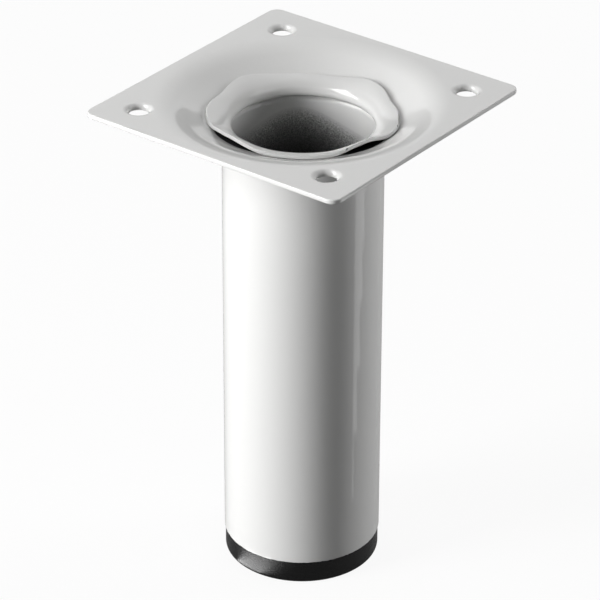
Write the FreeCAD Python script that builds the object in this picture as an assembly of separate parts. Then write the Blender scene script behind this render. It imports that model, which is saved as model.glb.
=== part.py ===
"""White steel table leg: a round tube flared over a pressed mounting plate, with a black plastic foot.

Millimetres, +Z up. The origin is the centre of the foot's standing face.
The plate's sides run along X and Y, and its flat top face is the highest face of the leg.
"""
import FreeCAD, Part
import math
import os

# Leg
leg_height = 160.0            # standing face to the plate's flat top face

# Mounting plate
plate_side = 95.0
plate_corner_radius = 3.5
plate_thickness = 1.5
plate_edge_radius = 0.45

# Round dish pressed into the plate
dish_margin = 2.5             # flat sheet left at the middle of each side
dish_brow_radius = 19.0       # convex bend at the top of the dish
dish_slope = 25.6             # degrees, steepest part
dish_foot_radius = 11.5       # concave bend at the bottom of the dish
seat_slope = 15.0             # degrees, the ring that the flared lip lies on
seat_reach = 4.8              # tube's neck to the seat's outer edge
sheet_bend_radius = 0.25      # inside of the sheet's tight bends, at the collar and the screw holes

# Screw holes
screw_inset = 12.0            # hole's centre to the plate's sides
screw_hole_diameter = 6.3
screw_collar_length = 0.2     # straight part of the hole's wall

# Tube
tube_diameter = 50.0
tube_wall = 1.2
tube_end_radius = 0.35
neck_inset = 1.8              # how far the wall is squeezed in where the tube passes the plate

# Fold under the plate, squeezed from the tube's own wall
fold_reach = 2.3              # out from the tube's outside
fold_slot = 0.5
fold_neck_radius = 0.3
fold_root_radius = 0.6

# Flared lip over the plate
lip_reach = 5.4               # out from the neck, mean of the lobes
lip_bend_radius = 3.2         # inside of the bend that the lip makes over the collar
lip_roll_radius = 9.0         # wide roll of the top face, out from its tighter bend at the neck
lip_roll_start = 40.0         # degrees, steepest part of the roll
lip_crest_slope = 10.0        # degrees, where the roll runs out to the edge
lip_edge_radius = 0.35

# Foot cap
foot_height = 7.6             # visible below the tube
foot_inset = 0.3              # in from the tube's outside
foot_edge_radius = 0.9
foot_shoulder_radius = 0.3
plug_length = 16.0
plug_wall = 2.0
plug_gap = 0.6                # plug body to the tube's bore, on the radius
plug_chamfer = 1.2
rib_count = 8
rib_width = 1.6
rib_inset = 0.02              # rib crest to the tube's bore, on the radius

# Clearances
neck_clearance = 0.2          # collar to the tube's neck, on the radius
seat_clearance = 0.06         # lip to the dish, measured upwards
fold_clearance = 0.05         # collar's edge to the fold

# Where the flared lip is out of round, as it was pressed: a name, the angle from +X and the
# half width in degrees, and how far the edge goes outwards and upwards there in mm.
lip_marks = (
    ("right front lobe", 14.0, 20.0, 1.9, 0.15),
    ("right shoulder", 35.0, 22.0, 0.6, 0.0),
    ("dent on the right", 53.0, 14.0, -0.3, 0.0),
    ("right lobe", 80.0, 27.0, 1.6, 0.2),
    ("flat at the back", 116.0, 33.0, -0.7, 0.0),
    ("back lobe", 166.0, 27.0, 1.9, 0.25),
    ("left lobe", 214.0, 29.0, 1.3, 0.15),
    ("left shoulder", 239.0, 18.0, 0.7, 0.0),
    ("lifted on the left", 258.0, 20.0, 0.0, 1.1),
    ("lifted on the front", 347.0, 21.0, 0.0, 1.85),
    ("shoulder at the front", 356.0, 21.0, 0.7, 0.0),
)
lip_ring_points = 60
joining_tolerance = 0.001

# Worked out from the sizes above
axis = FreeCAD.Vector(0, 0, 1)
tube_radius = tube_diameter / 2
bore_radius = tube_radius - tube_wall
neck_radius = tube_radius - neck_inset
throat_radius = neck_radius - tube_wall
fold_radius = tube_radius + fold_reach
lip_radius = neck_radius + lip_reach
lip_outer_bend = lip_bend_radius - tube_wall
foot_radius = tube_radius - foot_inset
dish_radius = plate_side / 2 - dish_margin
seat_radius = neck_radius + seat_reach
collar_radius = neck_radius + neck_clearance
tight_bend = sheet_bend_radius + plate_thickness     # top face of the sheet's tight bends
screw_hole_radius = screw_hole_diameter / 2
dimple_radius = screw_hole_radius + tight_bend
dimple_depth = tight_bend + screw_collar_length


def point(radius, height):
    """A point of a section in the XZ plane."""
    return FreeCAD.Vector(radius, 0, height)


def steep_width():
    """Width of the straight part of the dish's wall, between its two bends."""
    slope = math.radians(dish_slope)
    seat = math.radians(seat_slope)
    bends = dish_brow_radius * math.sin(slope) + dish_foot_radius * (math.sin(slope) - math.sin(seat))
    return dish_radius - seat_radius - bends


def seat_depth():
    """Depth of the seat's outer edge below the flat top face."""
    slope = math.radians(dish_slope)
    seat = math.radians(seat_slope)
    bends = dish_brow_radius * (1 - math.cos(slope)) + dish_foot_radius * (math.cos(seat) - math.cos(slope))
    return bends + steep_width() * math.tan(slope)


def dish_height(radius):
    """Height of the dish's top face at a radius on its seat or on the bend outside the seat."""
    seat = math.radians(seat_slope)
    edge_height = leg_height - seat_depth()
    if radius <= seat_radius:
        return edge_height + (radius - seat_radius) * math.tan(seat)
    centre_radius = seat_radius - dish_foot_radius * math.sin(seat)
    centre_height = edge_height + dish_foot_radius * math.cos(seat)
    return centre_height - math.sqrt(dish_foot_radius ** 2 - (radius - centre_radius) ** 2)


def revolved(face):
    """The solid that a section in the XZ plane sweeps about the Z axis."""
    return face.revolve(FreeCAD.Vector(0, 0, 0), axis, 360)


class Outline:
    """A section line of straight runs and tangent arcs, kept as edges in the XZ plane."""

    def __init__(self, radius, height, heading):
        self.place = (radius, height)
        self.heading = math.radians(heading)
        self.edges = []

    def run(self, length):
        """Straight on by a length."""
        radius, height = self.place
        end = (radius + length * math.cos(self.heading), height + length * math.sin(self.heading))
        if length > 1e-6:
            self.edges.append(Part.LineSegment(point(*self.place), point(*end)).toShape())
            self.place = end

    def turn(self, bend_radius, degrees):
        """Round a tangent arc, to the left if the angle is positive."""
        side = 1 if degrees > 0 else -1
        radius, height = self.place
        centre = (radius - side * bend_radius * math.sin(self.heading),
                  height + side * bend_radius * math.cos(self.heading))

        def on_arc(share):
            heading = self.heading + math.radians(degrees) * share
            return (centre[0] + side * bend_radius * math.sin(heading),
                    centre[1] - side * bend_radius * math.cos(heading))

        ends = [point(*on_arc(share)) for share in (0, 0.5, 1)]
        self.edges.append(Part.Arc(*ends).toShape())
        self.place = on_arc(1)
        self.heading += math.radians(degrees)


def closed_face(*edge_groups):
    """A plane face bounded by edges that meet end to end in any order."""
    edges = [edge for group in edge_groups for edge in group]
    return Part.Face(Part.Wire(Part.__sortEdges__(edges)))


def joined(first, second):
    """The straight edge between two section places."""
    return [Part.LineSegment(point(*first), point(*second)).toShape()]


def dish_line(offset):
    """One face of the dish and its collar, from the flat sheet in to the collar's edge.

    An offset of 0 is the top face, and the sheet's thickness gives the underside.
    """
    seat = math.radians(seat_slope)
    seat_width = seat_radius - collar_radius - tight_bend * (1 - math.sin(seat))
    line = Outline(dish_radius, leg_height - offset, 180)
    line.turn(dish_brow_radius - offset, dish_slope)
    line.run(steep_width() / math.cos(math.radians(dish_slope)))
    line.turn(dish_foot_radius + offset, seat_slope - dish_slope)
    line.run(seat_width / math.cos(seat))
    line.turn(tight_bend - offset, 90 - seat_slope)
    line.run(line.place[1] - collar_end_height())
    return line


def dimple_line():
    """The top face of a screw hole's dimple, drawn about the Z axis."""
    line = Outline(dimple_radius, leg_height, 180)
    line.turn(tight_bend, 90)
    line.run(screw_collar_length)
    return line


def lip_bend_height():
    """Height of the centre of the lip's bend, which is also where the neck ends."""
    seat = math.radians(seat_slope)
    reach = lip_radius - (throat_radius + lip_bend_radius - lip_bend_radius * math.sin(seat))
    lip_top = dish_height(lip_radius) + seat_clearance + tube_wall / math.cos(seat)
    return lip_top - reach * math.tan(seat) - lip_bend_radius * math.cos(seat)


def fold_top_height():
    """Height of the fold's upper outer face, just under the collar's edge."""
    return lip_bend_height() - fold_neck_radius


def collar_end_height():
    return fold_top_height() + fold_clearance


def screw_places():
    """Centres of the four screw holes."""
    half = plate_side / 2 - screw_inset
    return [FreeCAD.Vector(x, y, 0) for x in (-half, half) for y in (-half, half)]


def make_flat_sheet():
    """The square sheet with rounded corners, open where the dish starts."""
    corner = FreeCAD.Vector(-plate_side / 2, -plate_side / 2, leg_height - plate_thickness)
    sheet = Part.makeBox(plate_side, plate_side, plate_thickness, corner)
    upright = [edge for edge in sheet.Edges if abs(edge.tangentAt(edge.FirstParameter).z) > 0.9]
    sheet = sheet.makeFillet(plate_corner_radius, upright)
    rims = [edge for edge in sheet.Edges if edge.BoundBox.ZLength < 1e-6]
    sheet = sheet.makeFillet(plate_edge_radius, rims)
    opening = Part.makeCylinder(dish_radius, leg_height, FreeCAD.Vector(0, 0, 0), axis)
    return sheet.cut(opening)


def make_dish():
    """The pressed dish with its collar, one sheet thick."""
    top = dish_line(0)
    underside = dish_line(plate_thickness)
    rim = joined((dish_radius, leg_height), (dish_radius, leg_height - plate_thickness))
    edge = joined(top.place, underside.place)
    return revolved(closed_face(top.edges, underside.edges, rim, edge))


def make_dimple():
    """The ring of sheet round a screw hole, drawn down into a short collar."""
    inner = dimple_line()
    outer_radius = dimple_radius + plate_thickness
    underside = leg_height - plate_thickness
    collar_bottom = leg_height - dimple_depth
    collar_outside = screw_hole_radius + plate_thickness
    places = [inner.place, (collar_outside, collar_bottom), (outer_radius, underside),
              (outer_radius, leg_height), (dimple_radius, leg_height)]
    sides = [edge for first, second in zip(places, places[1:]) for edge in joined(first, second)]
    return revolved(closed_face(inner.edges, sides))


def make_mounting_plate():
    plate = make_flat_sheet().fuse(make_dish())
    dimple = make_dimple()
    clearing = Part.makeCylinder(dimple_radius + plate_thickness, leg_height,
                                 FreeCAD.Vector(0, 0, 0), axis)
    for place in screw_places():
        hole = clearing.translated(place)
        plate = plate.cut(hole).fuse(dimple.translated(place))
    return plate.removeSplitter().Solids[0]


def tube_section():
    """The tube's wall from its lower end, round the fold, up to the end of the neck."""
    fold_bend = tube_wall + fold_slot / 2
    fold_bottom = fold_top_height() - 2 * fold_bend
    run_out = fold_radius - fold_bend - tube_radius - fold_root_radius

    outer = Outline(tube_radius, foot_height, 90)
    outer.run(fold_bottom - fold_root_radius - foot_height)
    outer.turn(fold_root_radius, -90)
    outer.run(run_out)
    outer.turn(fold_bend, 180)
    outer.run(outer.place[0] - neck_radius - fold_neck_radius)
    outer.turn(fold_neck_radius, -90)

    inner = Outline(bore_radius, foot_height, 90)
    inner.run(fold_bottom - fold_root_radius - foot_height)
    inner.turn(fold_root_radius + tube_wall, -90)
    inner.run(run_out)
    inner.turn(fold_slot / 2, 180)
    inner.run(inner.place[0] - throat_radius - fold_neck_radius - tube_wall)
    inner.turn(fold_neck_radius + tube_wall, -90)

    top = joined(outer.place, inner.place)
    bottom = joined((tube_radius, foot_height), (bore_radius, foot_height))
    return closed_face(outer.edges, inner.edges, top, bottom)


def mark_share(angle, mark_angle, half_width):
    """How much of a mark shows at an angle: 1 at its middle, 0 past its half width."""
    away = abs((angle - mark_angle + 180) % 360 - 180)
    return 0.5 + 0.5 * math.cos(math.pi * away / half_width) if away < half_width else 0.0


def lip_shift(angle):
    """How far the lip's edge stands outwards and upwards of a true circle at an angle."""
    shares = [(mark_share(angle, mark[1], mark[2]), mark) for mark in lip_marks]
    outwards = sum(share * mark[3] for share, mark in shares)
    upwards = sum(share * mark[4] for share, mark in shares)
    return outwards, upwards


def lip_ring(radius, height, freedom):
    """A closed ring of the lip. Freedom is 0 at the neck and 1 at the lip's edge."""
    points = []
    for index in range(lip_ring_points):
        angle = 360 * index / lip_ring_points
        outwards, upwards = lip_shift(angle)
        climb = upwards + dish_height(lip_radius + outwards) - dish_height(lip_radius)
        reach = radius + outwards * freedom
        turn = math.radians(angle)
        points.append(FreeCAD.Vector(reach * math.cos(turn), reach * math.sin(turn),
                                     height + climb * freedom))
    steps = [float(index) for index in range(lip_ring_points + 1)]
    curve = Part.BSplineCurve()
    curve.interpolate(Points=points, Parameters=steps, PeriodicFlag=True)
    return Part.Wire(curve.toShape())


def lip_top_line(reach, rise):
    """The lip's top face from the throat out to its edge, a given reach out and rise up: a tight
    bend, the wide roll and a short run, as (radius, height) places above the bend's centre.
    """
    start = math.radians(lip_roll_start)
    crest = math.radians(lip_crest_slope)
    out_left = reach - lip_roll_radius * (math.sin(start) - math.sin(crest))
    up_left = rise - lip_roll_radius * (math.cos(crest) - math.cos(start))
    bend = (math.cos(crest) * up_left - math.sin(crest) * out_left)
    bend /= math.cos(start) * math.cos(crest) - (1 - math.sin(start)) * math.sin(crest)
    places = []
    for share in (0, 0.33, 0.67, 1):
        turned = (math.pi / 2 - start) * share
        places.append((bend * (1 - math.cos(turned)), bend * math.sin(turned)))
    for share in (0.33, 0.67, 1):
        slope = start + (crest - start) * share
        places.append((places[3][0] + lip_roll_radius * (math.sin(start) - math.sin(slope)),
                       places[3][1] + lip_roll_radius * (math.cos(slope) - math.cos(start))))
    places.append((reach, rise))
    return [(throat_radius + out, lip_bend_height() + up) for out, up in places]


def lip_stations():
    """The lip's underside, edge and top face, as stations along its section from the neck's
    outside to its inside. A station is a radius, a height and a freedom, and each face ends
    on the station where the next one starts.
    """
    seat = math.radians(seat_slope)
    centre = (throat_radius + lip_bend_radius, lip_bend_height())
    bends = [math.radians(angle) for angle in (0, 25, 50, 90 - seat_slope)]
    stations = []

    def freedom(radius):
        share = (radius - throat_radius) / (lip_radius - throat_radius)
        return min(1.0, max(0.0, share)) ** 1.5

    def add_arc(bend_radius, angles):
        for angle in angles:
            radius = centre[0] - bend_radius * math.cos(angle)
            height = centre[1] + bend_radius * math.sin(angle)
            free = 0.0 if angle == 0 else freedom(centre[0] - lip_bend_radius * math.cos(angle))
            stations.append((radius, height, free))

    def add_flat(bend_radius, shares):
        start = (centre[0] - bend_radius * math.sin(seat), centre[1] + bend_radius * math.cos(seat))
        length = (lip_radius - lip_edge_radius - start[0]) / math.cos(seat)
        for share in shares:
            radius = start[0] + length * share * math.cos(seat)
            stations.append((radius, start[1] + length * share * math.sin(seat), freedom(radius)))

    add_arc(lip_outer_bend, bends)
    add_flat(lip_outer_bend, (0.35, 0.7, 1))
    lower_corner = len(stations) - 1
    lower = stations[lower_corner]
    upper_rise = tube_wall / math.cos(seat)
    for share in (0.15, 0.5, 0.85):
        bulge = lip_edge_radius * math.sin(math.pi * share) ** 0.5
        stations.append((lower[0] + bulge, lower[1] + upper_rise * share, 1.0))
    upper_corner = len(stations)
    for radius, height in reversed(lip_top_line(lower[0] - throat_radius, lower[1] + upper_rise - centre[1])):
        stations.append((radius, height, freedom(radius)))
    return stations[:lower_corner + 1], stations[lower_corner:upper_corner + 1], stations[upper_corner:]


def make_flared_lip():
    """The neck's end turned out over the dish, with the lobes and lifts of a pressed edge."""
    groups = [[lip_ring(*station) for station in stations] for stations in lip_stations()]
    skins = [Part.makeLoft(rings, False, False) for rings in groups]
    neck_end = Part.makeFace([groups[0][0], groups[-1][-1]], "Part::FaceMakerBullseye")
    shell = Part.Shell([face for skin in skins for face in skin.Faces] + neck_end.Faces)
    shell.sewShape()
    lip = Part.Solid(shell)
    if lip.Volume < 0:
        lip.reverse()
    return lip


def make_leg_tube():
    tube = revolved(tube_section())
    end_edges = [edge for edge in tube.Edges if abs(edge.BoundBox.ZMax - foot_height) < 1e-6
                 and edge.BoundBox.ZLength < 1e-6]
    tube = tube.makeFillet(tube_end_radius, end_edges)
    return tube.fuse([make_flared_lip()], joining_tolerance).Solids[0]


def make_foot_cap():
    """The moulded foot: a disc under the tube and a hollow ribbed plug up its bore."""
    disc = Part.makeCylinder(foot_radius, foot_height)
    low = [edge for edge in disc.Edges if edge.BoundBox.ZMax < 1e-6]
    disc = disc.makeFillet(foot_edge_radius, low)
    high = [edge for edge in disc.Edges if edge.BoundBox.ZMin > foot_height - 1e-6]
    disc = disc.makeFillet(foot_shoulder_radius, high)

    plug_radius = bore_radius - plug_gap
    plug_top = foot_height + plug_length
    plug = Part.makeCylinder(plug_radius, plug_top - plug_wall, FreeCAD.Vector(0, 0, plug_wall))
    cap = disc.fuse([plug] + [make_rib(index) for index in range(rib_count)])
    hollow = Part.makeCylinder(plug_radius - plug_wall, plug_top, FreeCAD.Vector(0, 0, plug_wall))
    lead_in = make_lead_in(plug_top)
    return cap.common(lead_in).cut(hollow).removeSplitter().Solids[0]


def make_rib(index):
    """One upright rib on the plug, which grips the tube's bore."""
    crest = bore_radius - rib_inset
    length = crest - (bore_radius - plug_gap - plug_wall / 2)
    corner = FreeCAD.Vector(crest - length, -rib_width / 2, foot_height)
    rib = Part.makeBox(length, rib_width, plug_length, corner)
    rib.rotate(FreeCAD.Vector(0, 0, 0), axis, 360 / rib_count * index)
    return rib


def make_lead_in(plug_top):
    """The envelope that tapers the plug's upper end and rounds the rib crests to the bore."""
    crest = bore_radius - rib_inset
    reach = 2 * foot_radius
    places = [(0, 0), (reach, 0), (reach, foot_height), (crest, foot_height),
              (crest, plug_top - plug_chamfer), (crest - plug_chamfer, plug_top), (0, plug_top)]
    sides = [edge for first, second in zip(places, places[1:] + places[:1])
             for edge in joined(first, second)]
    return revolved(closed_face(sides))


def main():
    os.makedirs("parts", exist_ok=True)
    pieces = {
        "mounting_plate": make_mounting_plate(),
        "leg_tube": make_leg_tube(),
        "foot_cap": make_foot_cap(),
    }
    for name, shape in pieces.items():
        box = shape.optimalBoundingBox(False)
        print(name, shape.ShapeType, "valid" if shape.isValid() else "not valid",
              round(shape.Volume, 1), "mm3,", round(box.ZMin, 2), "to", round(box.ZMax, 2), "mm high")
        shape.exportStep("parts/%s.step" % name)


main()
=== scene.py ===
"""The look of the white steel table leg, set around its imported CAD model.

Metres, +Z up, in the CAD model's frame. The plate and the tube get a gloss white powder coat, and
the foot is black moulded plastic. Each piece is turned, bent and filled from its own section.
"""
import math
import bmesh
import bpy
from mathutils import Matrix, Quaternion, Vector, noise


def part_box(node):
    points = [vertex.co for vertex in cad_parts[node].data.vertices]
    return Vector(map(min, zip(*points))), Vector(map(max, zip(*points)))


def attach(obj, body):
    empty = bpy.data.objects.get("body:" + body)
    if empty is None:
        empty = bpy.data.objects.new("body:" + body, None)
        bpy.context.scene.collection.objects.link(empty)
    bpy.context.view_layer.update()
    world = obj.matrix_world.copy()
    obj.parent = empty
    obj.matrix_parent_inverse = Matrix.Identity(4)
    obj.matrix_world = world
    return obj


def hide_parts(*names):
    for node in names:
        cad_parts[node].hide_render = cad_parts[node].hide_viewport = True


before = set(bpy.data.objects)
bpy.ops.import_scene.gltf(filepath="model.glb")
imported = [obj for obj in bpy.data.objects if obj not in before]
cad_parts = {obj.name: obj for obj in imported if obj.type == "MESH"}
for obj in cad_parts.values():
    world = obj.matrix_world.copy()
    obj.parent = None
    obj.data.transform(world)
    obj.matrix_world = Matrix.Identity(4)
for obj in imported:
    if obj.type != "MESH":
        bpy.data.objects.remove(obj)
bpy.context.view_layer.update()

mm = 0.001

# Mounting plate
plate_half = 47.5 * mm
plate_corner = 3.5 * mm
plate_thickness = 1.5 * mm
plate_edge = 0.45 * mm        # rounding of the plate's outline
plate_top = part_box("mounting_plate")[1].z
dish_radius = 45 * mm
dish_brow = 19 * mm           # bend from the flat sheet down into the dish
dish_slope = 25.6             # degrees
dish_foot = 11.5 * mm         # bend from the dish's wall to its seat
seat_slope = 15               # degrees
seat_radius = 28 * mm
collar_radius = 23.4 * mm
tight_bend = 0.25 * mm        # inside of the sheet's tight bends
screw_place = 35.5 * mm
screw_hole = 3.15 * mm
screw_collar = 0.2 * mm
sheet_burr = 0.12 * mm        # rounding of the sheet's cut edges

# Tube
tube_radius = 25 * mm
tube_wall = 1.2 * mm
tube_end = 0.35 * mm
neck_radius = 23.2 * mm
fold_radius = 27.3 * mm
fold_slot = 0.5 * mm
fold_neck = 0.3 * mm
fold_root = 0.6 * mm
fold_clearance = 0.05 * mm
lip_radius = 28.6 * mm
lip_bend = 3.2 * mm           # inside of the bend that the lip makes over the collar
lip_roll = 9 * mm             # wide roll of the top face
lip_roll_start = 40           # degrees, steepest part of the roll
lip_crest_slope = 10          # degrees, where the roll runs out to the edge
lip_edge = 0.2 * mm
lip_stiffness = 1.5           # how late along the lip its unevenness sets in
seat_clearance = 0.06 * mm

# Where the lip is out of round, as it was pressed: the angle from +X and the half width in
# degrees, and how far the edge goes outwards and upwards there in mm.
lip_marks = (
    (14, 20, 1.9, 0.15), (35, 22, 0.6, 0), (53, 14, -0.3, 0), (80, 27, 1.6, 0.2),
    (116, 33, -0.7, 0), (166, 27, 1.9, 0.25), (214, 29, 1.3, 0.15), (239, 18, 0.7, 0),
    (243, 10, 0, 0.25), (257, 28, 0, 1.5), (345, 22, 0, 1.8), (354, 13, 0, 0.5), (356, 21, 0.7, 0),
)

# Paint bead at the tube's lower end, with broad and fine lumps round it
paint_bead = 0.14 * mm
bead_reach = 1.4 * mm
bead_broad_lumps = 26         # scale of the noise round the tube
bead_fine_lumps = 61
bead_fine_share = 0.5

# Painted shade under the lip, on its own underside and on the dish below its lifted edge
lip_side = 2 * mm             # strip of the dish outside its foot that the lifted lip overhangs
lip_shade_limit = 36 * mm          # radius that the painted shade never reaches
lip_shade_edge = 1 * mm            # width over which the painted shade fades
lip_shade_per_lift = 1.1           # how far it reaches out for each mm that the lip is lifted

# Chips in the paint of the lip's cut edge, in degrees from +X
lip_chips = (17.5, 334)
chip_half_width = 0.9

# Foot cap
foot_height = 7.6 * mm
foot_radius = 24.7 * mm
foot_edge = 0.9 * mm
foot_shoulder = 0.3 * mm
plug_top = 23.6 * mm
plug_radius = 23.2 * mm
plug_wall = 2 * mm
plug_chamfer = 1.2 * mm
moulded_corner = 0.2 * mm
rib_count = 8
rib_rise = 0.58 * mm

# Fineness of the meshes
hold = 0.1 * mm               # short run beside a bend that keeps the shading of the long one flat
round_steps = 240
foot_steps = 192
hole_steps = 48
same_place = 1e-7             # vertices nearer than this are one
same_height = 1e-6            # vertices nearer than this in height lie on one flat
wall_slack = 0.05 * mm        # faces nearer than this to the plug's wall are part of it

# Overspray in the bore, its thin side partly painted shade. Its depths are counted in reaches.
spray_start = 4.8 * mm        # from the lip's bend down to where the paint starts to thin
spray_bore = tube_radius - tube_wall + 0.4 * mm
spray_reach = 5 * mm
spray_lean = 1.4              # how much deeper the paint reaches all round but for its thin side
spray_and_shade_side = 185              # degrees, from the camera round to the thin side, darker partly as painted shade
spray_narrowness = 12         # power that narrows the thin side
grain_depth = 0.8             # depth at which the grains are at their strongest
grain_strength = 5

# Camera
view_way = -52.8              # degrees, from the leg to the camera
view_pitch = 29.62            # degrees, looking down
view_roll = 0.21              # degrees
view_distance = 1.087
view_shift = 0.83 * mm        # to the left
view_lens = 208               # mm
sensor_width = 36             # mm
aim = Vector((0, 0, 90 * mm))  # the point that the camera and the softboxes face

# Lamps and floor
lamp_distance = 1.3
world_glow = 0.01
floor_half = 20
floor_gap = 0.1 * mm
floor_white = 0.85            # tone to the camera
floor_bounce = 0.12           # tone that lights the leg
floor_glow = 0.92             # share of the floor's brightness that is its own glow
mirrored_glow = 0.3           # share of the glow that shows in gloss

# The right card, a wedge made of strips that get wider away from the leg
card_way = 79.5
card_near = 42 * mm
card_strips = 6
card_strip = 42 * mm
card_width = 120 * mm
card_flare = 1.5              # how the wedge opens: 1 is straight, more is slower at first
card_glow = 3.5               # watts per square metre


class Section:
    """A section in the XZ plane that grows from one vertex by straight runs and tangent arcs."""

    def __init__(self, mesh, radius, height, heading):
        self.mesh = mesh
        self.tip = mesh.verts.new((radius, 0, height))
        self.heading = math.radians(heading)
        self.path = [self.tip]

    def step(self, length):
        """Straight on by one edge."""
        grown = bmesh.ops.extrude_vert_indiv(self.mesh, verts=[self.tip])
        self.tip = grown["verts"][0]
        self.tip.co += Vector((math.cos(self.heading), 0, math.sin(self.heading))) * length
        self.path.append(self.tip)

    def even_steps(self, length, count):
        """Straight on by several equal edges."""
        for _ in range(count):
            self.step(length / count)

    def run(self, length):
        """Straight on, with a short step at both ends where the run is long enough."""
        if length > 4 * hold:
            self.step(hold)
            self.step(length - 2 * hold)
            self.step(hold)
        else:
            self.step(length)

    def turn(self, bend_radius, degrees, steps):
        """Round a tangent arc, to the left if the angle is positive."""
        leftwards = Vector((-math.sin(self.heading), 0, math.cos(self.heading)))
        middle = self.tip.co + leftwards * math.copysign(bend_radius, degrees)
        for _ in range(steps):
            grown = bmesh.ops.spin(self.mesh, geom=[self.tip], cent=middle, axis=(0, -1, 0),
                                   dvec=(0, 0, 0), angle=math.radians(degrees) / steps, steps=1)
            self.tip = verts_of(grown["geom_last"])[0]
            self.path.append(self.tip)
        self.heading += math.radians(degrees)


def verts_of(parts):
    """The vertices among what an operator has made."""
    return [part for part in parts if isinstance(part, bmesh.types.BMVert)]


def spun(section, steps):
    """Turns a section right round the Z axis and closes the seam and the poles."""
    mesh = section.mesh
    verts = set(section.path)
    edges = [edge for edge in mesh.edges if edge.verts[0] in verts and edge.verts[1] in verts]
    before = set(mesh.verts) - verts
    bmesh.ops.spin(mesh, geom=section.path + edges, cent=(0, 0, 0), axis=(0, 0, 1),
                   dvec=(0, 0, 0), angle=2 * math.pi, steps=steps, use_merge=True)
    made = [vert for vert in mesh.verts if vert not in before]
    bmesh.ops.remove_doubles(mesh, verts=made, dist=same_place)
    return [vert for vert in mesh.verts if vert not in before]


def finished(mesh, name, node, material):
    """Closes the mesh as a smooth object that stands for its CAD node."""
    bmesh.ops.recalc_face_normals(mesh, faces=mesh.faces)
    for face in mesh.faces:
        face.smooth = True
    data = bpy.data.meshes.new(name)
    mesh.to_mesh(data)
    mesh.free()
    piece = bpy.data.objects.new(name, data)
    bpy.context.scene.collection.objects.link(piece)
    data.materials.append(material)
    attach(piece, "root")
    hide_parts(node)
    return piece


def degrees_round(place):
    """The angle of a place round the Z axis, from +X."""
    return math.degrees(math.atan2(place.y, place.x))


def degrees_apart(one, two):
    """The angle between two directions, at most 180."""
    return abs((one - two + 180) % 360 - 180)


def steep_width():
    """Width of the straight part of the dish's wall."""
    slope = math.radians(dish_slope)
    seat = math.radians(seat_slope)
    bends = dish_brow * math.sin(slope) + dish_foot * (math.sin(slope) - math.sin(seat))
    return dish_radius - seat_radius - bends


def seat_depth():
    """Depth of the seat's outer edge below the plate's top."""
    slope = math.radians(dish_slope)
    bends = dish_brow * (1 - math.cos(slope))
    bends += dish_foot * (math.cos(math.radians(seat_slope)) - math.cos(slope))
    return bends + steep_width() * math.tan(slope)


def dish_height(radius):
    """Height of the dish's top face at a radius on its seat or on the bend outside it."""
    seat = math.radians(seat_slope)
    edge_height = plate_top - seat_depth()
    if radius <= seat_radius:
        return edge_height + (radius - seat_radius) * math.tan(seat)
    middle_radius = seat_radius - dish_foot * math.sin(seat)
    middle_height = edge_height + dish_foot * math.cos(seat)
    return middle_height - math.sqrt(dish_foot ** 2 - (radius - middle_radius) ** 2)


def lip_bend_height():
    """Height of the centre of the lip's bend, where the neck ends."""
    seat = math.radians(seat_slope)
    throat = neck_radius - tube_wall
    reach = lip_radius - (throat + lip_bend - lip_bend * math.sin(seat))
    lip_top = dish_height(lip_radius) + seat_clearance + tube_wall / math.cos(seat)
    return lip_top - reach * math.tan(seat) - lip_bend * math.cos(seat)


def collar_end_height():
    """Height of the collar's cut end, just above the tube's fold."""
    return lip_bend_height() - fold_neck + fold_clearance


def turn_cut_edge(line):
    """Takes a section round the sheet's cut edge, with both of its corners rounded."""
    line.turn(sheet_burr, 90, steps=3)
    line.run(plate_thickness - 2 * sheet_burr)
    line.turn(sheet_burr, 90, steps=3)


def make_dish(mesh):
    """The pressed dish with its collar, from the flat top round to the flat underside."""
    seat = math.radians(seat_slope)
    steep = steep_width() / math.cos(math.radians(dish_slope))
    collar_bend = tight_bend + plate_thickness
    seat_width = seat_radius - collar_radius - collar_bend * (1 - math.sin(seat))
    seat_run = seat_width / math.cos(seat)
    line = Section(mesh, dish_radius + hold, plate_top, 180)
    line.step(hold)
    line.turn(dish_brow, dish_slope, steps=18)
    line.run(steep - lip_side)
    line.even_steps(lip_side, 8)
    line.turn(dish_foot, seat_slope - dish_slope, steps=8)
    line.even_steps(seat_run, 12)
    line.turn(collar_bend, 90 - seat_slope, steps=10)
    collar_run = line.tip.co.z - collar_end_height() - sheet_burr
    line.run(collar_run)
    turn_cut_edge(line)
    line.run(collar_run)
    line.turn(tight_bend, seat_slope - 90, steps=5)
    line.run(seat_run)
    line.turn(dish_foot + plate_thickness, dish_slope - seat_slope, steps=8)
    line.run(steep)
    line.turn(dish_brow - plate_thickness, -dish_slope, steps=18)
    line.step(hold)
    spun(line, round_steps)


def make_screw_hole(mesh, x, y):
    """A screw hole whose rim is drawn down into a short collar."""
    line = Section(mesh, screw_hole + tight_bend + plate_thickness + hold, plate_top, 180)
    line.step(hold)
    line.turn(tight_bend + plate_thickness, 90, steps=10)
    line.step(screw_collar - sheet_burr)
    turn_cut_edge(line)
    line.step(screw_collar - sheet_burr)
    line.turn(tight_bend, -90, steps=4)
    line.step(hold)
    bmesh.ops.translate(mesh, verts=spun(line, hole_steps), vec=(x, y, 0))


def rim_steps():
    """How the rim goes outwards and upwards, from the flat top round its edge to the underside."""
    quarter = [math.radians(angle) for angle in range(0, 91, 15)]
    steps = [(hold, 0)]
    for one, two in zip(quarter, quarter[1:]):
        steps.append((plate_edge * (math.sin(two) - math.sin(one)),
                      plate_edge * (math.cos(two) - math.cos(one))))
    side = plate_thickness - 2 * plate_edge
    steps += [(0, -hold), (0, 2 * hold - side), (0, -hold)]
    for one, two in zip(quarter, quarter[1:]):
        steps.append((plate_edge * (math.cos(two) - math.cos(one)),
                      plate_edge * (math.sin(one) - math.sin(two))))
    return steps + [(-hold, 0)]


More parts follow.
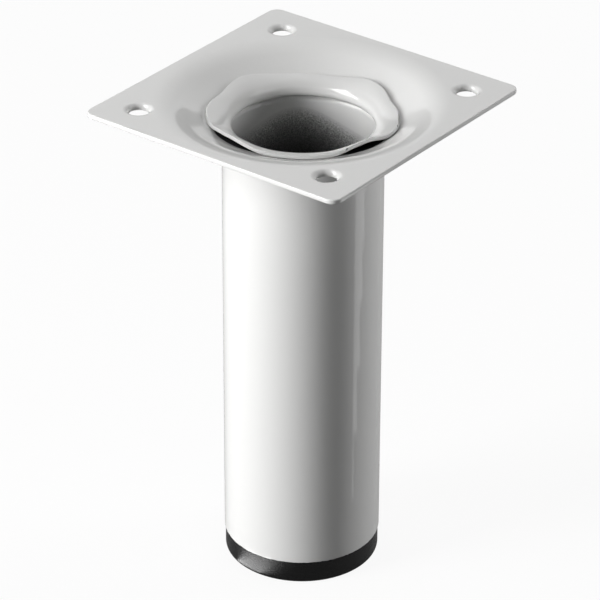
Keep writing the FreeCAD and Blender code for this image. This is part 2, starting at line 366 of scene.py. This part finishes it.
def make_rim(mesh):
    """The square plate's edge, with rounded corners."""
    corner_middle = plate_half - plate_corner
    inset = plate_edge + hold
    made = bmesh.ops.create_grid(mesh, x_segments=1, y_segments=1, size=plate_half - inset)
    bmesh.ops.translate(mesh, verts=made["verts"], vec=(0, 0, plate_top))
    bmesh.ops.bevel(mesh, geom=made["verts"], offset=plate_corner - inset, affect="VERTICES",
                    segments=12, profile=0.5, material=-1)
    sheet = max(mesh.faces, key=lambda face: len(face.verts))
    loop = sheet.edges[:]
    bmesh.ops.delete(mesh, geom=[sheet], context="FACES_ONLY")
    for outwards, upwards in rim_steps():
        grown = bmesh.ops.extrude_edge_only(mesh, edges=loop)["geom"]
        loop = [part for part in grown if isinstance(part, bmesh.types.BMEdge)
                and all(vert in grown for vert in part.verts)]
        for vert in verts_of(grown):
            middle = Vector((math.copysign(corner_middle, vert.co.x),
                             math.copysign(corner_middle, vert.co.y), vert.co.z))
            vert.co += (vert.co - middle).normalized() * outwards + Vector((0, 0, upwards))


def fill_flat(mesh, height):
    """Fills the flat sheet between the rim, the dish and the screw holes at one height."""
    edges = [edge for edge in mesh.edges if edge.is_boundary
             and all(abs(vert.co.z - height) < same_height for vert in edge.verts)]
    bmesh.ops.triangle_fill(mesh, use_beauty=True, use_dissolve=False, edges=edges)


def make_plate(material):
    """The pressed plate, with painted shade marked on the dish where the lifted lip overhangs it.
    """
    mesh = bmesh.new()
    make_rim(mesh)
    make_dish(mesh)
    for x in (-screw_place, screw_place):
        for y in (-screw_place, screw_place):
            make_screw_hole(mesh, x, y)
    fill_flat(mesh, plate_top)
    fill_flat(mesh, plate_top - plate_thickness)

    # Painted shade: the dish under the lip, and further out where the lip is lifted, is marked to
    # be coloured dark. This stands for the lip's shade and a painted reflection of its dark gap.
    bare_and_shade = mesh.verts.layers.float.new("bare_and_shade")
    for vert in mesh.verts:
        radius = math.hypot(vert.co.x, vert.co.y)
        if radius < lip_shade_limit and vert.co.z > dish_height(radius) - sheet_burr:
            outwards, upwards = lip_shift(degrees_round(vert.co))
            reach = lip_radius + outwards + lip_shade_per_lift * upwards - lip_shade_edge / 2
            vert[bare_and_shade] = min(1.0, max(0.0, (reach - radius) / lip_shade_edge))
    return finished(mesh, "pressed_mounting_plate", "mounting_plate", material)


def mark_share(angle, mark_angle, half_width):
    """How much of a mark shows at an angle: 1 at its middle, 0 past its half width."""
    away = degrees_apart(angle, mark_angle)
    return 0.5 + 0.5 * math.cos(math.pi * away / half_width) if away < half_width else 0.0


def lip_shift(angle):
    """How far the lip's edge stands outwards and upwards of a true circle at an angle."""
    shares = [(mark_share(angle, mark[0], mark[1]), mark) for mark in lip_marks]
    outwards = sum(share * mark[2] for share, mark in shares) * mm
    upwards = sum(share * mark[3] for share, mark in shares) * mm
    return outwards, upwards


def lip_top_sizes(reach, rise):
    """The throat's bend radius and the run at the crest that carry the lip's top face over a reach
    outwards and a rise, with the wide roll between them."""
    start = math.radians(lip_roll_start)
    crest = math.radians(lip_crest_slope)
    out_left = reach - lip_roll * (math.sin(start) - math.sin(crest))
    up_left = rise - lip_roll * (math.cos(crest) - math.cos(start))
    bend = math.cos(crest) * up_left - math.sin(crest) * out_left
    bend /= math.cos(start) * math.cos(crest) - (1 - math.sin(start)) * math.sin(crest)
    return bend, (out_left - bend * (1 - math.sin(start))) / math.cos(crest)


def make_tube(material):
    """The tube in one section: its end, the fold under the plate, the neck and the flared lip."""
    seat = math.radians(seat_slope)
    bore = tube_radius - tube_wall
    throat = neck_radius - tube_wall
    fold_bend = tube_wall + fold_slot / 2
    run_out = fold_radius - fold_bend - tube_radius - fold_root
    fold_bottom = lip_bend_height() - fold_neck - 2 * fold_bend
    wall_run = fold_bottom - fold_root - foot_height - tube_end
    underside_bend = lip_bend - tube_wall
    bend_middle = throat + lip_bend
    lip_start = bend_middle - underside_bend * math.sin(seat)
    edge_corner = lip_radius - lip_edge * (1 - math.sin(seat))

    mesh = bmesh.new()
    freedom = mesh.verts.layers.float.new("freedom")
    bare_and_shade = mesh.verts.layers.float.new("bare_and_shade")
    cut = mesh.verts.layers.float.new("cut")
    line = Section(mesh, bore + tube_end, foot_height, 0)
    line.run(tube_wall - 2 * tube_end)
    line.turn(tube_end, 90, steps=5)
    line.run(wall_run)
    line.turn(fold_root, -90, steps=6)
    line.step(run_out)
    line.turn(fold_bend, 180, steps=16)
    line.run(line.tip.co.x - neck_radius - fold_neck)
    line.turn(fold_neck, -90, steps=4)
    neck_end = len(line.path)
    line.turn(underside_bend, seat_slope - 90, steps=12)
    bend_end = len(line.path)
    line.even_steps((edge_corner - lip_start) / math.cos(seat), 4)
    underside_end = len(line.path)
    line.turn(lip_edge, 90, steps=5)
    line.step(tube_wall - 2 * lip_edge)
    cut_end = len(line.path)
    line.turn(lip_edge, 90 + lip_crest_slope - seat_slope, steps=5)
    lip_rise = line.tip.co.z - lip_bend_height()
    throat_bend, crest_run = lip_top_sizes(line.tip.co.x - throat, lip_rise)
    line.even_steps(crest_run, 2)
    line.turn(lip_roll, lip_roll_start - lip_crest_slope, steps=12)
    line.turn(throat_bend, 90 - lip_roll_start, steps=12)
    lip_end = len(line.path) - 1
    line.turn(fold_neck + tube_wall, 90, steps=8)
    line.run(fold_radius - fold_bend - line.tip.co.x)
    line.turn(fold_slot / 2, -180, steps=8)
    line.step(run_out)
    line.turn(fold_root + tube_wall, 90, steps=8)
    line.run(wall_run)
    line.turn(tube_end, 90, steps=5)
    mesh.edges.new((line.path[-1], line.path[0]))

    for index in range(neck_end, lip_end):
        vert = line.path[index]
        radius = vert.co.x
        if index < bend_end:
            radius = bend_middle - (bend_middle - radius) * lip_bend / underside_bend
        share = (radius - throat) / (lip_radius - throat)
        vert[freedom] = min(1.0, max(0.0, share)) ** lip_stiffness
    # Painted shade: the lip's underside, in the gap over the dish, is marked to be coloured dark.
    for vert in line.path[neck_end:underside_end]:
        vert[bare_and_shade] = 1.0
    # The chips take the end of the cut edge and the start of the rounding above it.
    for vert in line.path[cut_end - 1:cut_end + 2]:
        vert[cut] = 1.0
    spun(line, round_steps)

    for vert in mesh.verts:
        angle = degrees_round(vert.co)
        across = Vector((vert.co.x, vert.co.y, 0)).normalized()
        if vert[freedom] > 0:
            outwards, upwards = lip_shift(angle)
            climb = upwards + dish_height(lip_radius + outwards) - dish_height(lip_radius)
            vert.co += (across * outwards + Vector((0, 0, climb))) * vert[freedom]
        chipped = any(degrees_apart(angle, chip) < chip_half_width for chip in lip_chips)
        if vert[cut] > 0.5 and chipped:
            vert[bare_and_shade] = 1.0
        near_end = 1 - (vert.co.z - foot_height) / bead_reach
        if near_end > 0:
            lump = noise.noise(across * bead_broad_lumps)
            lump += bead_fine_share * noise.noise(across * bead_fine_lumps)
            vert.co.z += lump * paint_bead * near_end
    return finished(mesh, "flared_leg_tube", "leg_tube", material)


def make_foot(material):
    """The moulded cap: the foot's disc and the hollow plug with its grip ribs."""
    mesh = bmesh.new()
    line = Section(mesh, 0, 0, 0)
    line.run(foot_radius - foot_edge)
    line.turn(foot_edge, 90, steps=8)
    line.run(foot_height - foot_edge - foot_shoulder)
    line.turn(foot_shoulder, 90, steps=5)
    line.run(line.tip.co.x - plug_radius - moulded_corner)
    line.turn(moulded_corner, -90, steps=3)
    wall_foot = line.tip.co.z
    line.run(plug_top - plug_chamfer - wall_foot)
    wall_head = line.tip.co.z
    line.heading += math.radians(45)
    line.step(plug_chamfer * math.sqrt(2))
    line.heading += math.radians(45)
    line.step(line.tip.co.x - (plug_radius - plug_wall) - moulded_corner)
    line.turn(moulded_corner, 90, steps=3)
    line.run(line.tip.co.z - plug_wall - moulded_corner)
    line.turn(moulded_corner, -90, steps=3)
    line.run(line.tip.co.x)
    spun(line, foot_steps)
    for index in range(rib_count):
        raise_rib(mesh, 2 * math.pi * index / rib_count, wall_foot, wall_head)
    return finished(mesh, "moulded_foot_cap", "foot_cap", material)


def raise_rib(mesh, turn, bottom, top):
    """Raises the plug's wall between two heights into a grip rib, at an angle from +X."""
    rib_way = Vector((math.cos(turn), math.sin(turn), 0))
    rib_faces = []
    for face in mesh.faces:
        middle = face.calc_center_median()
        on_wall = abs(math.hypot(middle.x, middle.y) - plug_radius) < wall_slack
        across = Vector((middle.x, middle.y, 0)).normalized()
        beside = across.dot(rib_way) > math.cos(2 * math.pi / foot_steps)
        if bottom < middle.z < top and on_wall and beside:
            rib_faces.append(face)
    grown = bmesh.ops.extrude_face_region(mesh, geom=rib_faces)["geom"]
    bmesh.ops.delete(mesh, geom=rib_faces, context="FACES_ONLY")
    for vert in verts_of(grown):
        vert.co += Vector((vert.co.x, vert.co.y, 0)).normalized() * rib_rise


def new_group(name, inputs, output):
    """An empty shader node group with a place, named value inputs and one named value output."""
    group = bpy.data.node_groups.new(name, "ShaderNodeTree")
    group.interface.new_socket("Place", in_out="INPUT", socket_type="NodeSocketVector")
    for title, value in inputs:
        socket = group.interface.new_socket(title, in_out="INPUT", socket_type="NodeSocketFloat")
        socket.default_value = value
    group.interface.new_socket(output, in_out="OUTPUT", socket_type="NodeSocketFloat")
    start = group.nodes.new("NodeGroupInput")
    end = group.nodes.new("NodeGroupOutput")
    return group, start, end


def math_node(tree, operation, *values, clamped=False):
    """A math node in a group or material, fed with sockets or numbers."""
    node = tree.nodes.new("ShaderNodeMath")
    node.operation = operation
    node.use_clamp = clamped
    for socket, value in zip(node.inputs, values):
        if isinstance(value, (int, float)):
            socket.default_value = value
        else:
            tree.links.new(value, socket)
    return node.outputs[0]


def noise_node(tree, place, scale, detail, roughness=0.5):
    """A noise texture in a group, at a place and a scale that come from sockets."""
    node = tree.nodes.new("ShaderNodeTexNoise")
    node.inputs["Detail"].default_value = detail
    node.inputs["Roughness"].default_value = roughness
    tree.links.new(place, node.inputs["Vector"])
    tree.links.new(scale, node.inputs["Scale"])
    return node.outputs["Fac"]


def color_mix(tree, factor, low, high):
    """The colour between two that a factor picks. A Mix node has its colours in sockets 6 and 7."""
    node = tree.nodes.new("ShaderNodeMix")
    node.data_type = "RGBA"
    node.inputs[6].default_value = low
    node.inputs[7].default_value = high
    tree.links.new(factor, node.inputs["Factor"])
    return node.outputs[2]


def make_fine_lumps():
    """Soft lumps of two sizes, for the skin of sprayed paint or moulded plastic."""
    times_finer = 4.3
    inputs = (("Per metre", 400), ("Fine share", 0.3))
    group, start, end = new_group("fine_lumps", inputs, "Height")
    place = start.outputs["Place"]
    per_metre = start.outputs["Per metre"]
    broad = noise_node(group, place, per_metre, detail=1)
    finer = math_node(group, "MULTIPLY", per_metre, times_finer)
    fine = noise_node(group, place, finer, detail=2)
    mix = group.nodes.new("ShaderNodeMix")
    group.links.new(start.outputs["Fine share"], mix.inputs["Factor"])
    group.links.new(broad, mix.inputs[2])
    group.links.new(fine, mix.inputs[3])
    group.links.new(mix.outputs[0], end.inputs["Height"])
    return group


def make_overspray():
    """Paint that blew into the bore: 1 where it covers, down to 0 in grains deep in the tube. It
    reaches least deep on one side, at an angle from +X, which is darker partly as painted shade."""
    inputs = (("Mouth", 0.15), ("Bore", 0.02), ("Reach", 0.01), ("Lean", 1), ("Side", 0),
              ("Grains per metre", 2200))
    group, start, end = new_group("overspray", inputs, "Paint")
    place, mouth, bore, reach, lean, side, grains_per_metre = start.outputs[:7]

    def made(operation, *values, clamped=False):
        return math_node(group, operation, *values, clamped=clamped)

    places = group.nodes.new("ShaderNodeSeparateXYZ")
    group.links.new(place, places.inputs[0])
    x, y, z = places.outputs
    radius = made("SQRT", made("ADD", made("MULTIPLY", x, x), made("MULTIPLY", y, y)))
    towards = made("ADD", made("MULTIPLY", x, made("COSINE", side)),
                   made("MULTIPLY", y, made("SINE", side)))
    towards = made("MULTIPLY_ADD", made("DIVIDE", towards, bore), 0.5, 0.5, clamped=True)
    away = made("SUBTRACT", 1, made("POWER", towards, spray_narrowness))
    depth = made("DIVIDE", made("SUBTRACT", mouth, z), reach)
    depth = made("MAXIMUM", made("SUBTRACT", depth, made("MULTIPLY", away, lean)), 0)
    grain = noise_node(group, place, grains_per_metre, detail=3, roughness=0.7)
    spread = made("MULTIPLY", made("SUBTRACT", grain, 0.5), made("MINIMUM", depth, grain_depth))
    paint = made("SUBTRACT", made("MULTIPLY", spread, grain_strength), depth)
    paint = made("EXPONENT", made("MINIMUM", paint, 0))
    inside = made("LESS_THAN", radius, bore)
    bare_and_shade = made("MULTIPLY", made("SUBTRACT", 1, paint), inside)
    group.links.new(made("SUBTRACT", 1, bare_and_shade, clamped=True), end.inputs["Paint"])
    return group


def placed(tree, group, **values):
    """A group node in a material, with its values set and the object's coordinates plugged in."""
    node = tree.nodes.new("ShaderNodeGroup")
    node.node_tree = group
    for title, value in values.items():
        node.inputs[title.replace("_", " ")].default_value = value
    coordinates = next((each for each in tree.nodes if each.type == "TEX_COORD"), None)
    coordinates = coordinates or tree.nodes.new("ShaderNodeTexCoord")
    tree.links.new(coordinates.outputs["Object"], node.inputs["Place"])
    return node


def new_material(name, **values):
    """A material with its Principled shader's own sockets set."""
    material = bpy.data.materials.new(name)
    material.use_nodes = True
    shader = material.node_tree.nodes["Principled BSDF"]
    for title, value in values.items():
        shader.inputs[title.replace("_", " ")].default_value = value
    return material, material.node_tree, shader


def raise_surface(tree, shader, height, strength, distance):
    """Lets a height raise the surface of a material."""
    bump = tree.nodes.new("ShaderNodeBump")
    bump.inputs["Strength"].default_value = strength
    bump.inputs["Distance"].default_value = distance
    tree.links.new(height, bump.inputs["Height"])
    tree.links.new(bump.outputs["Normal"], shader.inputs["Normal"])


def white_paint(lumps, overspray):
    """Gloss white powder coat with a faint orange peel, over dark steel that shows through it in
    grains down the bore, partly as painted shade on its thin side. It is dark where the mesh is
    marked: at chips in the paint, and as painted shade under the lip."""
    white = (0.83, 0.83, 0.82, 1)
    bare_steel_and_shade = (0.006, 0.006, 0.006, 1)
    gloss = 0.07
    bare_roughness = 0.6
    dull_below = 0.6          # white share up to which it stays as rough as unpainted steel
    white_reserve = 1.25      # more than full, so that a faint mark leaves the white whole
    mark_darkening = 1.5          # at a full mark

    material, tree, shader = new_material("white_powder_coat", Base_Color=white,
                                          Roughness=gloss, IOR=1.52)
    peel = placed(tree, lumps, Per_metre=420, Fine_share=0.2)
    raise_surface(tree, shader, peel.outputs["Height"], strength=0.06, distance=0.4 * mm)
    spray = placed(tree, overspray, Mouth=lip_bend_height() - spray_start, Bore=spray_bore,
                   Reach=spray_reach, Lean=spray_lean, Side=math.radians(view_way + spray_and_shade_side))
    marked = tree.nodes.new("ShaderNodeAttribute")
    marked.attribute_name = "bare_and_shade"
    darkening = math_node(tree, "MULTIPLY", marked.outputs["Fac"], mark_darkening)
    white_share = math_node(tree, "SUBTRACT", white_reserve, darkening, clamped=True)
    white_share = math_node(tree, "MULTIPLY", spray.outputs["Paint"], white_share)
    # The dark colour is unpainted steel in the bore and at the chips. Under the lip and on the
    # bore's thin side it is painted shade.
    tree.links.new(color_mix(tree, white_share, bare_steel_and_shade, white), shader.inputs["Base Color"])
    dull = tree.nodes.new("ShaderNodeMapRange")
    dull.inputs["From Min"].default_value = dull_below
    dull.inputs["To Min"].default_value = bare_roughness
    dull.inputs["To Max"].default_value = gloss
    tree.links.new(white_share, dull.inputs["Value"])
    tree.links.new(dull.outputs[0], shader.inputs["Roughness"])
    return material


def black_plastic(lumps):
    """Black moulded plastic with a soft sheen."""
    material, tree, shader = new_material("black_moulded_plastic", Roughness=0.3, IOR=1.48,
                                          Base_Color=(0.003, 0.003, 0.003, 1),
                                          Specular_IOR_Level=0.3)
    grain = placed(tree, lumps, Per_metre=2600, Fine_share=0.4)
    raise_surface(tree, shader, grain.outputs["Height"], strength=0.6, distance=0.6 * mm)
    return material


def make_floor():
    """A plain white floor that keeps a soft shadow. It glows to the camera and less in the gloss,
    and sends little light back up."""
    mesh = bmesh.new()
    bmesh.ops.create_grid(mesh, x_segments=1, y_segments=1, size=floor_half)
    data = bpy.data.meshes.new("floor")
    mesh.to_mesh(data)
    mesh.free()
    floor = bpy.data.objects.new("floor", data)
    floor.location.z = -floor_gap
    bpy.context.scene.collection.objects.link(floor)

    material, tree, shader = new_material("white_floor", Roughness=0.9)
    path = tree.nodes.new("ShaderNodeLightPath")
    camera_ray = path.outputs["Is Camera Ray"]
    bounced = (floor_bounce, floor_bounce, floor_bounce, 1)
    seen = (floor_white, floor_white, floor_white, 1)
    tree.links.new(color_mix(tree, camera_ray, bounced, seen), shader.inputs["Base Color"])
    mirrored = math_node(tree, "MAXIMUM", path.outputs["Is Glossy Ray"],
                         path.outputs["Is Transmission Ray"])
    mirrored = math_node(tree, "MULTIPLY", mirrored, mirrored_glow)
    glow_share = math_node(tree, "MULTIPLY", math_node(tree, "MAXIMUM", camera_ray, mirrored),
                           floor_glow)
    glow = tree.nodes.new("ShaderNodeEmission")
    mix = tree.nodes.new("ShaderNodeMixShader")
    tree.links.new(glow_share, mix.inputs["Fac"])
    tree.links.new(shader.outputs[0], mix.inputs[1])
    tree.links.new(glow.outputs[0], mix.inputs[2])
    tree.links.new(mix.outputs[0], tree.nodes["Material Output"].inputs["Surface"])
    data.materials.append(material)


def direction(way, height=0):
    """A direction from the leg. Way is in degrees to the right of the camera, seen from the leg,
    and height is in degrees above the floor."""
    turn = math.radians(view_way + way)
    rise = math.radians(height)
    level = math.cos(rise)
    return Vector((math.cos(turn) * level, math.sin(turn) * level, math.sin(rise)))


def new_lamp(name, width, tall, watts):
    """A rectangular lamp, not yet in its place."""
    lamp = bpy.data.lights.new(name, "AREA")
    lamp.shape = "RECTANGLE"
    lamp.size = width
    lamp.size_y = tall
    lamp.energy = watts
    item = bpy.data.objects.new(name, lamp)
    bpy.context.scene.collection.objects.link(item)
    return item


def softbox(name, way, height, width, tall, watts, distance=lamp_distance):
    """A soft lamp that faces the leg."""
    box = new_lamp(name, width, tall, watts)
    away = direction(way, height)
    box.location = aim + away * distance
    box.rotation_euler = away.to_track_quat("Z", "Y").to_euler()
    return box


def low_card(name, way, near, length, width, watts):
    """A lit card flat on the floor beside the leg, mirrored in its side as an upright stripe. The
    stripe starts half way between the camera and the card, and lies on the card's own side."""
    card = new_lamp(name, length, width, watts)
    beside = direction(way + 90) * math.copysign(width / 2, way)
    card.location = direction(way / 2) * tube_radius + direction(way) * (near + length / 2)
    card.location += beside + Vector((0, 0, mm))
    card.rotation_euler = (math.pi, 0, math.radians(view_way + way))
    card.visible_camera = False
    return card


def light_scene():
    """Broad boxes light the leg and a top box also shows in the plate's gloss. Two windows and two
    cards show only as highlights: on the lip, on the foot, and as a stripe that tapers down the
    tube."""
    broad = (softbox("key_softbox", way=-66, height=11, width=0.45, tall=0.5, watts=16.2),
             softbox("left_softbox", way=-72, height=34, width=0.6, tall=0.5, watts=7.4),
             softbox("right_softbox", way=107, height=14, width=0.5, tall=0.5, watts=9.3))
    for box in broad:
        box.visible_glossy = False
    softbox("top_softbox", way=180, height=50, width=1.8, tall=1.8, watts=9, distance=1.5)
    mirrored = [softbox("left_window", way=-78, height=42, width=0.7, tall=1, watts=20),
                softbox("right_window", way=80, height=45, width=0.7, tall=0.8, watts=2.8),
                low_card("foot_card", way=-49, near=1 * mm, length=10 * mm, width=14 * mm,
                         watts=0.0032)]
    for strip in range(card_strips):
        width = card_width * ((strip + 0.5) / card_strips) ** card_flare
        mirrored.append(low_card(f"right_card_{strip}", card_way, card_near + strip * card_strip,
                                 card_strip, width, card_glow * card_strip * width))
    for lamp in mirrored:
        lamp.visible_diffuse = False
    world = bpy.data.worlds.new("studio")
    bpy.context.scene.world = world
    world.use_nodes = True
    world.node_tree.nodes["Background"].inputs["Color"].default_value = (1, 1, 1, 1)
    world.node_tree.nodes["Background"].inputs["Strength"].default_value = world_glow


def place_camera():
    """The camera stands where the photograph was taken from, looking down at the leg."""
    back = direction(0, view_pitch)
    lens = bpy.data.cameras.new("camera")
    lens.sensor_width = sensor_width
    lens.lens = view_lens
    camera = bpy.data.objects.new("camera", lens)
    camera.location = aim + back * view_distance - direction(90) * view_shift
    roll = Quaternion((0, 0, 1), math.radians(view_roll))
    camera.rotation_euler = (back.to_track_quat("Z", "Y") @ roll).to_euler()
    bpy.context.scene.collection.objects.link(camera)
    bpy.context.scene.camera = camera


lumps = make_fine_lumps()
paint = white_paint(lumps, make_overspray())
make_plate(paint)
make_tube(paint)
make_foot(black_plastic(lumps))
make_floor()
light_scene()
place_camera()
bpy.context.scene.view_settings.view_transform = "Standard"
